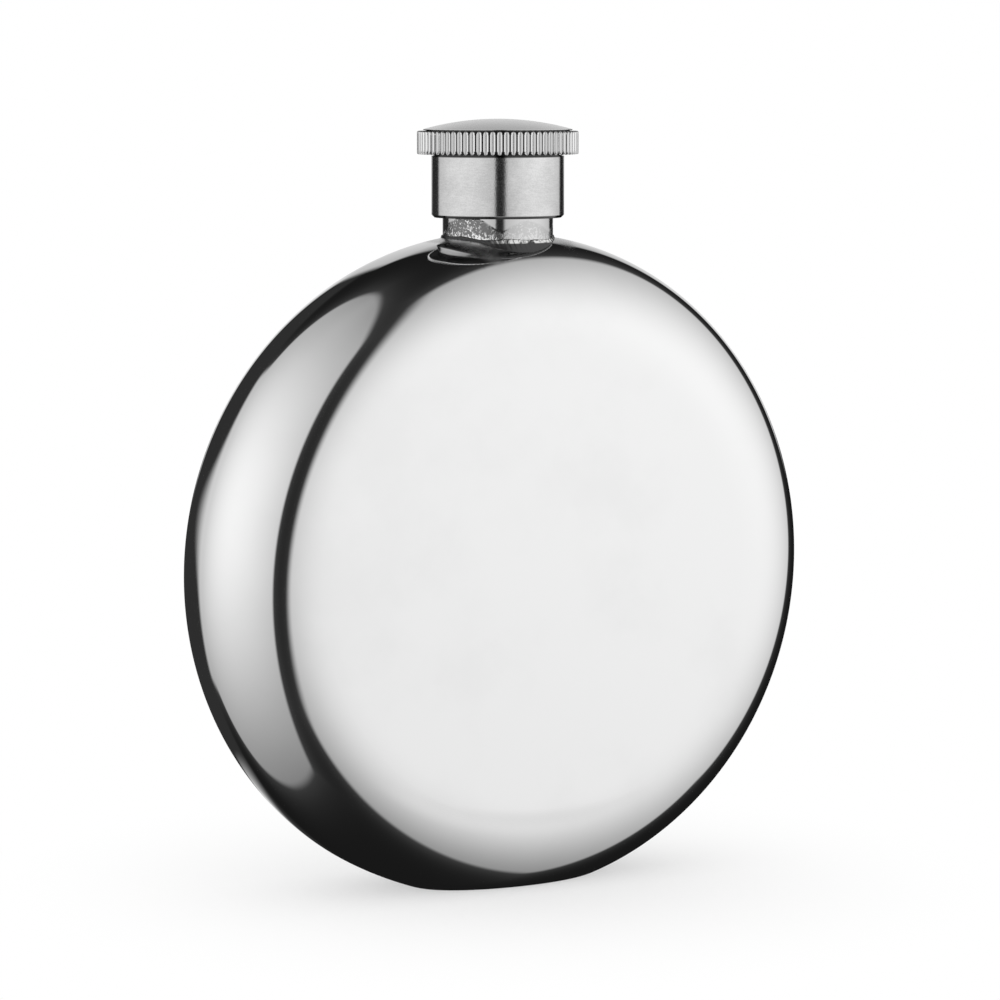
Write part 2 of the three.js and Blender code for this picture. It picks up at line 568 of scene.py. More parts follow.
@dataclass(frozen=True)
class MirrorSteel(Finish):
    """Mirror-polished sheet: faint wheel rings, cloudy smears and a haze round the uncleaned weld."""

    name: str = "polished_sheet"
    tint: Colour = (0.885, 0.885, 0.885)
    gloss: float = 0.03
    smear_noise: Noise = Noise(55.0, 4.0)
    smear_band: Pair = (0.42, 0.72)
    smear_tint: Colour = (0.855, 0.855, 0.855)
    smear_gloss: float = 0.03
    ring_noise: Noise = Noise(9000.0)
    ring_turn: float = 0.004
    ring_band: Pair = (0.5, 0.8)
    ring_gloss: float = 0.02
    haze_gloss: float = 0.24
    haze_reach: Pair = (10.6, 12.4)
    centre: float = 47.9

    def surface(self, nodes: NodeTree, where: Signal) -> Sockets:
        """Rings read the distance from the body's axis, the haze that from the neck's, and smears the place.

        Args:
            nodes: Tree of the material.
            where: Object coordinates in metres.

        Returns:
            Values and signals by socket name.
        """
        x, y, z = nodes.split(where)
        up = z - self.centre / METRE
        turn = nodes.math("ARCTAN2", x, up)
        rings = nodes.noise(nodes.join(nodes.hypot(x, up), turn * self.ring_turn, y), self.ring_noise)
        smears = nodes.noise(where, self.smear_noise).ramp(*self.smear_band)
        beside = nodes.hypot(x, y) * METRE
        uncleaned = 1.0 - weld_side(nodes, nodes.math("ARCTAN2", y, x))
        haze = (1.0 - beside.ramp(*self.haze_reach)) * up.ramp(0.0, self.centre / METRE) * uncleaned
        wear = smears * self.smear_gloss + rings.ramp(*self.ring_band) * self.ring_gloss
        return {
            "Base Color": nodes.blend(smears, self.tint, self.smear_tint),
            "Metallic": 1.0,
            "Roughness": self.gloss + wear + haze * self.haze_gloss,
        }


@dataclass(frozen=True)
class SatinSteel(Finish):
    """Fine satin steel: turning lines round the axis under an even blasted grain, with painted shade, near
    black, along two seams.
    """

    seam_low: float
    seam_high: float
    name: str = "satin_turning"
    tint: Colour = (0.6, 0.6, 0.6)
    worn_tint: Colour = (0.8, 0.8, 0.8)
    seam_shade_tint: Colour = (0.05, 0.05, 0.05)
    seam_reach: float = 0.3
    seam_core: float = 0.6
    gloss: float = 0.11
    grain_noise: Noise = Noise(5200.0)
    grain_band: Pair = (0.35, 0.65)
    grain_gloss: float = 0.05
    grain_depth: float = 0.009
    grain_relief: float = 0.6
    grain_wear: float = 0.35
    line_turn: float = 0.002
    line_wear: float = 0.25
    cloud_noise: Noise = Noise(260.0, 3.0)
    cloud_band: Pair = (0.35, 0.7)
    cloud_wear: float = 0.4

    def surface(self, nodes: NodeTree, where: Signal) -> Sockets:
        """Lines read the radius and the height, and the grain reads the place itself.

        Args:
            nodes: Tree of the material.
            where: Object coordinates in metres.

        Returns:
            Values and signals by socket name.
        """
        x, y, z = nodes.split(where)
        turn = nodes.math("ARCTAN2", y, x)
        lines = nodes.noise(nodes.join(nodes.hypot(x, y), turn * self.line_turn, z), self.grain_noise)
        grain = nodes.noise(where, self.grain_noise)
        clouds = nodes.noise(where, self.cloud_noise).ramp(*self.cloud_band)
        above, below = z * METRE - self.seam_low, self.seam_high - z * METRE
        # Painted shade: near the two seam heights the colour falls to near black.
        unshaded = nodes.math("MINIMUM", above, below).ramp(self.seam_core * self.seam_reach, self.seam_reach)
        pitted, scored = grain.ramp(*self.grain_band), lines.ramp(*self.grain_band)
        worn = clouds * self.cloud_wear + pitted * self.grain_wear + scored * self.line_wear
        steel = nodes.blend(worn, self.tint, self.worn_tint)
        relief = grain * self.grain_relief + lines * (1.0 - self.grain_relief)
        return {
            "Base Color": nodes.blend(unshaded, self.seam_shade_tint, steel),
            "Metallic": 1.0,
            "Roughness": self.gloss + (grain + lines - 1.0) * self.grain_gloss,
            "Normal": bump(nodes, relief, self.grain_depth),
        }


@dataclass(frozen=True)
class SatinDome(SatinSteel):
    """Satin of the domed top: paler and softer than that of the skirt, with a finer band of painted shade at
    its seam.
    """

    name: str = "satin_dome"
    tint: Colour = (0.84, 0.84, 0.84)
    gloss: float = 0.2
    seam_reach: float = 0.2


@dataclass(frozen=True)
class BrightSteel(Finish):
    """Polished knurl: bright flanks, crests dulled by fingers, and painted shade, near black, at the floor of
    the grooves.
    """

    crest: float
    floor: float
    name: str = "bright_knurl"
    tint: Colour = (0.94, 0.94, 0.94)
    crest_tint: Colour = (0.6, 0.6, 0.6)
    groove_shade_tint: Colour = (0.03, 0.03, 0.03)
    gloss: float = 0.06
    crest_gloss: float = 0.22
    groove_gloss: float = 0.25
    crest_share: float = 0.22
    crest_core: float = 0.4
    groove_share: float = 0.42
    groove_core: float = 0.3
    grain_noise: Noise = Noise(7000.0, 3.0)
    grain_depth: float = 0.002

    def surface(self, nodes: NodeTree, where: Signal) -> Sockets:
        """Dulling and painted shade read the distance from the axis, as a share of a rib's depth.

        Args:
            nodes: Tree of the material.
            where: Object coordinates in metres.

        Returns:
            Values and signals by socket name.
        """
        x, y, _ = nodes.split(where)
        share = (nodes.hypot(x, y) * METRE - self.floor) / (self.crest - self.floor)
        # Painted shade: towards the floor of the grooves the colour falls to near black.
        unshaded = share.ramp(self.groove_core * self.groove_share, self.groove_share)
        dull = share.ramp(1.0 - self.crest_share, 1.0 - self.crest_core * self.crest_share)
        steel = nodes.blend(dull, self.tint, self.crest_tint)
        return {
            "Base Color": nodes.blend(unshaded, self.groove_shade_tint, steel),
            "Metallic": 1.0,
            "Roughness": self.gloss + (1.0 - unshaded) * self.groove_gloss + dull * self.crest_gloss,
            "Normal": bump(nodes, nodes.noise(where, self.grain_noise), self.grain_depth),
        }


@dataclass(frozen=True)
class TurnedSteel(Finish):
    """Turned neck: lathe lines, with rough splash over five tack welds near the body; the splash carries
    painted glints, and painted shade on two opposite sides.
    """

    name: str = "turned_neck"
    tint: Colour = (0.68, 0.68, 0.68)
    splash_shade_tint: Colour = (0.2, 0.2, 0.2)
    splash_tint: Colour = (0.58, 0.58, 0.58)
    glint_tint: Colour = (0.95, 0.95, 0.95)
    gloss: float = 0.09
    line_noise: Noise = Noise(14000.0)
    line_turn: float = 0.002
    line_gloss: float = 0.06
    line_relief: float = 0.03
    splash_gloss: float = 0.08
    splash_foot: float = 98.0
    splash_rise: float = 1.6
    splash_edge: float = 0.25
    splash_depth: float = 0.09
    patch_noise: Noise = Noise(240.0)
    patch_rise: float = 1.2
    tack_count: int = 5
    first_tack: float = -85.0
    slip: float = 0.25
    heavy_tack: float = -154.0
    heavy_share: float = 0.5
    speckle_noise: Noise = Noise(2700.0, 3.0)
    glint_reach: Pair = (97.3, 98.6)
    glint_gain: float = 0.09
    glint_band: Pair = (0.53, 0.64)
    bare_band: Pair = (0.45, 0.62)
    bare_share: float = 0.9
    cleaned_glints: float = 0.6
    cleaned_relief: float = 0.7

    def surface(self, nodes: NodeTree, where: Signal) -> Sockets:
        """Splash climbs in an arch over each tack weld, broken up by noise, and lines read the height.

        The arch is the absolute cosine of half the tacks' angle. A sine shifts the tacks out of step, and
        the splash is heaviest round one of them.

        Args:
            nodes: Tree of the material.
            where: Object coordinates in metres.

        Returns:
            Values and signals by socket name.
        """
        x, y, z = nodes.split(where)
        turn, height = nodes.math("ARCTAN2", y, x), z * METRE
        lines = nodes.noise(nodes.join(0.0, turn * self.line_turn, z), self.line_noise)
        patches = nodes.noise(where, self.patch_noise)
        speckle = nodes.noise(where, self.speckle_noise)
        beside = turn - math.radians(self.first_tack)
        slip = nodes.math("SINE", beside * 2.0) * self.slip
        arch = nodes.math("ABSOLUTE", nodes.math("COSINE", beside * (self.tack_count / 2.0) + slip))
        heavy = 1.0 + nodes.math("COSINE", turn - math.radians(self.heavy_tack)) * self.heavy_share
        top = self.splash_foot + arch * self.splash_rise * heavy + (patches - 0.5) * self.patch_rise
        splash = 1.0 - (height - top).ramp(-self.splash_edge, self.splash_edge)
        cleaned_unshaded = weld_side(nodes, turn)
        # Painted glints: near-white specks in the splash, most at its foot and fewer on the cleaned sides.
        near = 1.0 - height.ramp(*self.glint_reach)
        bare = patches.ramp(*self.bare_band) * self.bare_share * (1.0 - near)
        glints = (speckle + near * self.glint_gain).ramp(*self.glint_band)
        painted_glints = glints * (1.0 - bare) * (1.0 - cleaned_unshaded * self.cleaned_glints)
        # Painted shade: on the uncleaned sides the splash turns dark grey.
        ground = nodes.blend(cleaned_unshaded, self.splash_shade_tint, self.splash_tint)
        rough = nodes.blend(painted_glints, ground, self.glint_tint)
        relief = speckle * splash * (1.0 - cleaned_unshaded * self.cleaned_relief) + lines * self.line_relief
        return {
            "Base Color": nodes.blend(splash, self.tint, rough),
            "Metallic": 1.0,
            "Roughness": self.gloss + splash * self.splash_gloss * speckle + (lines - 0.5) * self.line_gloss,
            "Normal": bump(nodes, relief, self.splash_depth),
        }


@dataclass(frozen=True)
class WeldSteel(Finish):
    """Weld metal: bright broken scales along the cleaned upper edge, and painted shade, near black and
    smooth, elsewhere.
    """

    level: float
    name: str = "brushed_weld"
    tint: Colour = (0.84, 0.84, 0.83)
    weld_shade_tint: Colour = (0.07, 0.07, 0.07)
    gloss: float = 0.2
    dull_gloss: float = 0.1
    pit_noise: Noise = Noise(2200.0, 3.0)
    pit_depth: float = 0.05
    break_noise: Noise = Noise(900.0)
    break_band: Pair = (0.5, 0.62)
    bright_band: Pair = (-0.62, -0.42)

    def surface(self, nodes: NodeTree, where: Signal) -> Sockets:
        """Pits and breaks read the place itself, and the bright band the height over the level upper edge.

        Args:
            nodes: Tree of the material.
            where: Object coordinates in metres.

        Returns:
            Values and signals by socket name.
        """
        x, y, z = nodes.split(where)
        pits = nodes.noise(where, self.pit_noise)
        breaks = nodes.noise(where, self.break_noise).ramp(*self.break_band)
        upper = (z * METRE - self.level).ramp(*self.bright_band)
        # Painted shade: outside the broken upper band on the cleaned sides the weld turns near black.
        dull = 1.0 - weld_side(nodes, nodes.math("ARCTAN2", y, x)) * (1.0 - breaks) * upper
        return {
            "Base Color": nodes.blend(dull, self.tint, self.weld_shade_tint),
            "Metallic": 1.0,
            "Roughness": self.gloss + dull * self.dull_gloss,
            "Normal": bump(nodes, pits * (1.0 - dull), self.pit_depth),
        }


@dataclass(frozen=True)
class Silicone(Finish):
    """Matt pale silicone with a moulded grain."""

    name: str = "pale_silicone"
    tint: Colour = (0.8, 0.79, 0.76)
    shade: Colour = (0.72, 0.71, 0.68)
    gloss: float = 0.5
    mottle_noise: Noise = Noise(400.0, 3.0)
    grain_noise: Noise = Noise(5000.0)
    grain_gloss: float = 0.2
    grain_depth: float = 0.01

    def surface(self, nodes: NodeTree, where: Signal) -> Sockets:
        """Mottling and grain read the place itself.

        Args:
            nodes: Tree of the material.
            where: Object coordinates in metres.

        Returns:
            Values and signals by socket name.
        """
        grain = nodes.noise(where, self.grain_noise)
        return {
            "Base Color": nodes.blend(nodes.noise(where, self.mottle_noise), self.tint, self.shade),
            "Roughness": self.gloss + grain * self.grain_gloss,
            "Normal": bump(nodes, grain, self.grain_depth),
        }


class SubAssembly:
    """A group of pieces that are built and dressed together."""

    def add(
        self, name: str, lattice: np.ndarray, ends: Ends, place: Place, finish: Finish, crease: float
    ) -> None:
        """Make a piece of a lattice and put it into the scene.

        Args:
            name: Name of the piece.
            lattice: Its points in millimetres.
            ends: How the rows of the lattice end.
            place: Body and node that it belongs to, and a slot that is not used.
            finish: Its finish.
            crease: Angle in degrees above which an edge shows as sharp.
        """
        mesh = lattice_mesh(name, lattice, ends)
        mesh.set_sharp_from_angle(angle=math.radians(crease))
        mesh.materials.append(finish.material())
        piece = put_in_scene(name, mesh)
        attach(piece, place.body)
        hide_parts(place.node)
        LOG.info("%s: %d faces on %s", name, len(mesh.polygons), place.body)


@dataclass
class FlaskBody(SubAssembly):
    """Two pressed shells: crowned faces, rounded edges with a crowned land, a standing flat, a neck hole."""

    rim_radius: float = 10.5
    shoulder_radius: float = 14.4
    blend_angle: float = 35.0
    face_lean: float = 1.74
    land_lean: float = 2.5
    ease_length: float = 6.5
    sheet: float = 0.6
    flat_depth: float = 2.1
    flat_edge: float = 0.5
    seat_gap: float = 0.2
    outline_steps: int = 6001
    cut_steps: int = 3000
    columns: int = 512
    hole_columns: int = 64
    outer_rows: tuple[int, int, int, int] = (36, 40, 20, 8)
    inner_rows: tuple[int, int, int, int] = (6, 14, 8, 2)
    crease: float = 40.0

    def __post_init__(self) -> None:
        """Work out half an outline from the frame: arcs for the crown, the shoulder, the rim and the land.

        The arcs give the curvature along the outline. Near the crown's end it grows evenly to the shoulder's,
        as on a clothoid, and the crown is a little flatter to leave the shoulder in its place. Sums of the
        curvature and then of the slope give the points.
        """
        shell = Extent.of("front_shell")
        self.radius = float(shell.high[0])
        self.centre = self.radius - self.flat_depth
        self.hole = Extent.of("neck_tube").radius + self.seat_gap
        half_thickness = -float(shell.low[1])
        angles = (self.blend_angle, self.face_lean, self.land_lean)
        blend, lean, land = (math.radians(angle) for angle in angles)
        step = self.shoulder_radius - self.rim_radius
        droop, ease = math.tan(lean / 2.0), math.tan(land / 2.0)
        rim_x = self.radius - self.rim_radius
        depth = half_thickness - self.shoulder_radius + step * math.sin(blend)
        rim_y = (depth - (rim_x - step * math.cos(blend)) * droop) / (1.0 - ease * droop)
        shoulder_x = rim_x - rim_y * ease - step * math.cos(blend)
        crown_radius = shoulder_x / math.sin(lean) + self.shoulder_radius
        land_radius = self.rim_radius + rim_y / math.sin(land)
        radii = np.array([crown_radius, self.shoulder_radius, self.rim_radius, land_radius])
        swing = np.diff([0.0, lean, math.pi / 2.0 - blend, math.pi / 2.0 - land, math.pi / 2.0])
        self.stops = np.concatenate([[0.0], np.cumsum(radii * swing)])
        self.along = np.linspace(0.0, self.stops[-1], self.outline_steps)
        curvature = (1.0 / radii)[np.searchsorted(self.stops[1:-1], self.along)]
        pull = self.ease_length**2 / (12.0 * self.stops[1])
        knee = self.stops[1] - pull
        crown = (lean - pull / self.shoulder_radius) / knee
        grown = np.clip((self.along - knee) / self.ease_length + 0.5, 0.0, 1.0)
        eased = crown + grown * (1.0 / self.shoulder_radius - crown)
        angle = self.running(np.where(grown < 1.0, eased, curvature))
        reach, drop = self.running(np.cos(angle)), self.running(np.sin(angle))
        self.reach = reach * (self.radius / reach[-1])
        self.depth = half_thickness * (1.0 - drop / drop[-1])
        self.angle = np.arctan2(-np.gradient(self.depth), np.gradient(self.reach))

    def running(self, values: np.ndarray) -> np.ndarray:
        """Sum up values along the outline by the trapezoid rule.

        Args:
            values: One value for each point of the outline.

        Returns:
            The running sum, from 0.
        """
        steps = np.diff(self.along) * (values[1:] + values[:-1]) / 2.0
        return np.concatenate([[0.0], np.cumsum(steps)])

    def outline(self, along: np.ndarray, offset: float) -> tuple[np.ndarray, np.ndarray]:
        """Half outline of the body, from the middle of the face to the seam.

        Args:
            along: Length along the outer outline from the middle of the face.
            offset: How far the outline is grown along its normals, negative for the inside.

        Returns:
            Distance from the body's axis, and depth from the seam.
        """
        rows = (self.reach, self.depth, self.angle)
        reach, depth, angle = (np.interp(along, self.along, row) for row in rows)
        return reach + offset * np.sin(angle), depth + offset * np.cos(angle)

    def turns(self) -> np.ndarray:
        """Angles of the columns from straight up, close together at the edge of the neck hole.

        Returns:
            Angles in radians, once round.
        """
        edge = math.asin(self.hole / self.radius)
        swing = np.linspace(-math.pi / 2, math.pi / 2, self.hole_columns, endpoint=False)
        inside = np.arcsin(math.sin(edge) * np.sin(swing))
        outside = np.linspace(edge, 2.0 * math.pi - edge, self.columns - self.hole_columns, endpoint=False)
        return np.concatenate([inside, outside])

    def hole_cut(self, turn: np.ndarray, offset: float) -> np.ndarray:
        """Length along the outline where each meridian meets the neck hole, or the seam where it misses it.

        Args:
            turn: Angles of the meridians.
            offset: How far the outline is grown.

        Returns:
            End of each meridian.
        """
        seam = self.stops[-1]
        along = np.linspace(self.stops[1], seam, self.cut_steps)
        reach, depth = self.outline(along, offset)
        side = np.abs(np.where(np.cos(turn) > 0.0, np.sin(turn), 1.0))
        clear = np.hypot(np.outer(reach, side), depth[:, None]) - self.hole
        last = np.clip(np.argmax(clear < 0.0, axis=0), 1, None)
        columns = np.arange(len(turn))
        before, after = clear[last - 1, columns], clear[last, columns]
        cut = along[last - 1] + (along[last] - along[last - 1]) * before / (before - after)
        return np.where((clear < 0.0).any(axis=0), cut, seam)

    def skin(self, offset: float, counts: tuple[int, int, int, int], side: float) -> np.ndarray:
        """One skin of a shell: meridians from the middle of the face to the seam or the neck hole.

        Heights under the standing flat are lifted to it by a smooth maximum, which rounds its edge.

        Args:
            offset: How far the outline is grown, negative for the inside.
            counts: Rows on the crown, the shoulder, the rim and the land.
            side: -1 for the front and 1 for the rear.

        Returns:
            Lattice of points, from the middle outwards.
        """
        stops = self.stops
        stretches = [np.linspace(a, b, n, endpoint=False) for a, b, n in zip(stops[:-1], stops[1:], counts)]
        stations = np.concatenate([*stretches, stops[-1:]])[:, None]
        turn = self.turns()
        knee, seam = stops[1], stops[-1]
        squeeze = (self.hole_cut(turn, offset) - knee) / (seam - knee)
        along = np.where(stations > knee, knee + (stations - knee) * squeeze, stations)
        reach, depth = self.outline(along, offset)
        height = self.centre + reach * np.cos(turn)
        floor = -offset
        overlap = np.maximum(self.flat_edge - np.abs(height - floor), 0.0)
        lifted = np.maximum(height, floor) + overlap**2 / (4.0 * self.flat_edge)
        return np.stack([reach * np.sin(turn), side * depth, lifted], axis=2)

    def shell(self, side: float) -> np.ndarray:
        """A pressed shell: its outer skin outwards, then its inner skin back to the middle.

        Args:
            side: -1 for the front and 1 for the rear.

        Returns:
            Lattice of points.
        """
        outer = self.skin(0.0, self.outer_rows, side)
        inner = self.skin(-self.sheet, self.inner_rows, side)
        return np.concatenate([outer, inner[::-1]])

    def height_at(self, radius: np.ndarray | float, angle: np.ndarray | float) -> np.ndarray:
        """Height of the body's outer surface round the neck, from the outline carried round the body's axis.

        Args:
            radius: Distance from the neck's axis.
            angle: Direction from that axis in radians, 0 towards +X.

        Returns:
            Heights of the surface.
        """
        across = np.interp(np.abs(radius * np.sin(angle)), self.depth[::-1], self.reach[::-1])
        return self.centre + np.sqrt(across**2 - (radius * np.cos(angle)) ** 2)

    def build(self) -> None:
        """Make both shells."""
        finish = MirrorSteel(centre=self.centre)
        for name, side in (("front_shell", -1.0), ("rear_shell", 1.0)):
            place = Place("flask", name, "mirror_steel")
            self.add(name + "_skin", self.shell(side), Ends.POLES, place, finish, self.crease)


@dataclass(frozen=True)
class Thread:
    """Right-hand screw thread, as a rise over a round wall."""

    pitch: float = 2.0
    height: float = 0.65
    run_out: float = 1.2
    flank: Pair = (0.25, 0.85)

    def rise(
        self, angle: np.ndarray, height: np.ndarray, low: float, high: float, phase: float
    ) -> np.ndarray:
        """Rise of the thread over its root: a rounded ridge on the helix, fading out at both ends.

        Args:
            angle: Angle round the axis in radians.
            height: Height of each point.
            low: Where the thread begins.
            high: Where it ends.
            phase: Shift along the helix in turns.

        Returns:
            Rise in millimetres.
        """
        lead = np.mod(height / self.pitch - angle / math.tau + phase, 1.0)
        ridge = 1.0 - smooth_step(np.abs(2.0 * lead - 1.0), *self.flank)
        begun = smooth_step(height, low, low + self.run_out)
        ended = smooth_step(height, high - self.run_out, high)
        return self.height * ridge * begun * (1.0 - ended)


@dataclass
class Neck(SubAssembly):
    """Spout tube with its thread, and the weld that joins it to the body."""

    body: FlaskBody
    thread: Thread
    shank_step: float = 0.85
    thread_length: float = 6.4
    thread_start: float = 0.2
    fillet: float = 0.05
    lip: float = 0.4
    bore: float = 6.0
    columns: int = 192
    crease: float = 40.0
    weld_drop: float = 0.1
    weld_flare: float = 0.25
    weld_climb: float = 0.35
    weld_outset: float = 0.32
    weld_hollow: float = 1.25
    weld_bulge: float = 0.1
    weld_waves: tuple[tuple[float, int, float], ...] = ((0.22, 3, 0.7), (0.16, 7, 2.1), (0.12, 13, 0.0))
    level_wave: float = 0.3
    climb_wave: float = 0.8
    outset_wave: float = 0.4
    scale_count: int = 64
    scale_columns: int = 10
    scale_slant: float = 0.35
    scale_foot: float = 0.55
    scale_rise: float = 0.75
    scale_hook: float = 0.7
    weld_rows: int = 19
    under_rows: int = 5
    under_fit: float = 0.02
    under_reach: float = 0.05
    under_sink: float = 0.12
    weld_crease: float = 60.0

    def tube(self) -> np.ndarray:
        """The tube: a plain shank, a thread on a narrower root and a rounded lip over the bore.

        Returns:
            Lattice of points.
        """
        extent = Extent.of("neck_tube")
        shank, root = extent.radius, extent.radius - self.shank_step
        low, high, lip = extent.bottom, extent.top - self.lip, self.lip
        step = extent.top - self.thread_length
        profile = np.concatenate(
            [
                straight((self.bore, low), (shank, low), 2),
                straight((shank, low), (shank, step - lip), 12)[1:],
                arc((shank - lip, step - lip), lip, 0.0, 90.0, 6)[1:],
                straight((root + self.fillet, step), (root, step + self.fillet), 1),
                straight((root, step + 2.0 * self.fillet), (root, high), 72),
                arc((root - lip, high), lip, 0.0, 90.0, 6),
                arc((self.bore + lip, high), lip, 90.0, 180.0, 6),
                straight((self.bore, high), (self.bore, low), 8)[1:-1],
            ]
        )
        radius, angle, height = polar(turned(profile, self.columns))
        on_root = (np.abs(radius - root) < ON_WALL) & (height > step)
        rise = self.thread.rise(angle, height, step + self.thread_start, high, 0.0)
        return from_polar(radius + np.where(on_root, rise, 0.0), angle, height)

    def weld_level(self) -> float:
        """Height of the weld's level upper edge, close under the body's highest contact with the shank."""
        return float(self.body.height_at(Extent.of("neck_tube").radius, 0.0)) - self.weld_drop

    def weld(self) -> np.ndarray:
        """The weld: a section from the shank down to the body, bulged and scaled, carried round the saddle.

        The section runs over the bead from its upper edge on the shank to its lower edge on the body and
        comes back underneath. Where the body falls away from the level upper edge, the bead grows into a
        taller fillet. Slow waves, a sum of sines, and overlapping scales vary it along the way.

        Returns:
            Lattice of points.
        """
        shank = Extent.of("neck_tube").radius
        angle = once_round(self.scale_columns * self.scale_count)[None, :]
        share = np.linspace(0.0, 1.0, self.weld_rows)[:, None]
        waves = sum(size * np.sin(count * angle + start) for size, count, start in self.weld_waves)
        least = self.weld_climb * (1.0 + self.climb_wave * waves)
        level = self.weld_level() + self.level_wave * waves
        climb = np.maximum(least, level - self.body.height_at(shank, angle))
        outset = self.weld_outset * (1.0 + self.outset_wave * waves) + self.weld_flare * (climb - least)
        scale = np.mod(self.scale_count * angle / math.tau + self.scale_slant * np.cos(math.pi * share), 1.0)
        relief = self.scale_foot + self.scale_rise * (1.0 - scale) ** self.scale_hook
        bulge = self.weld_bulge * np.sin(math.pi * np.sqrt(share)) * relief
        reach = shank + outset * share**self.weld_hollow + bulge
        top = self.body.height_at(reach, angle) + climb * (1.0 - share) ** self.weld_hollow + bulge
        inwards = np.linspace(1.0, 0.0, self.under_rows)[:, None]
        under = shank + self.under_fit + (outset + self.under_reach) * inwards
        underside = from_polar(under, angle, self.body.height_at(under, angle) - self.under_sink)
        return np.concatenate([underside, from_polar(reach, angle, top)])[::-1]

    def build(self) -> None:
        """Make the tube and the weld."""
        tube = Place("flask", "neck_tube", "turned_steel")
        self.add("neck_tube_turned", self.tube(), Ends.LOOP, tube, TurnedSteel(), self.crease)
        weld = Place("flask", "neck_weld_bead", "weld_steel")
        # The weld's finish paints shade, near black, except along its upper edge on the cleaned sides.
        metal = WeldSteel(self.weld_level())
        self.add("neck_weld_scales", self.weld(), Ends.LOOP, weld, metal, self.weld_crease)


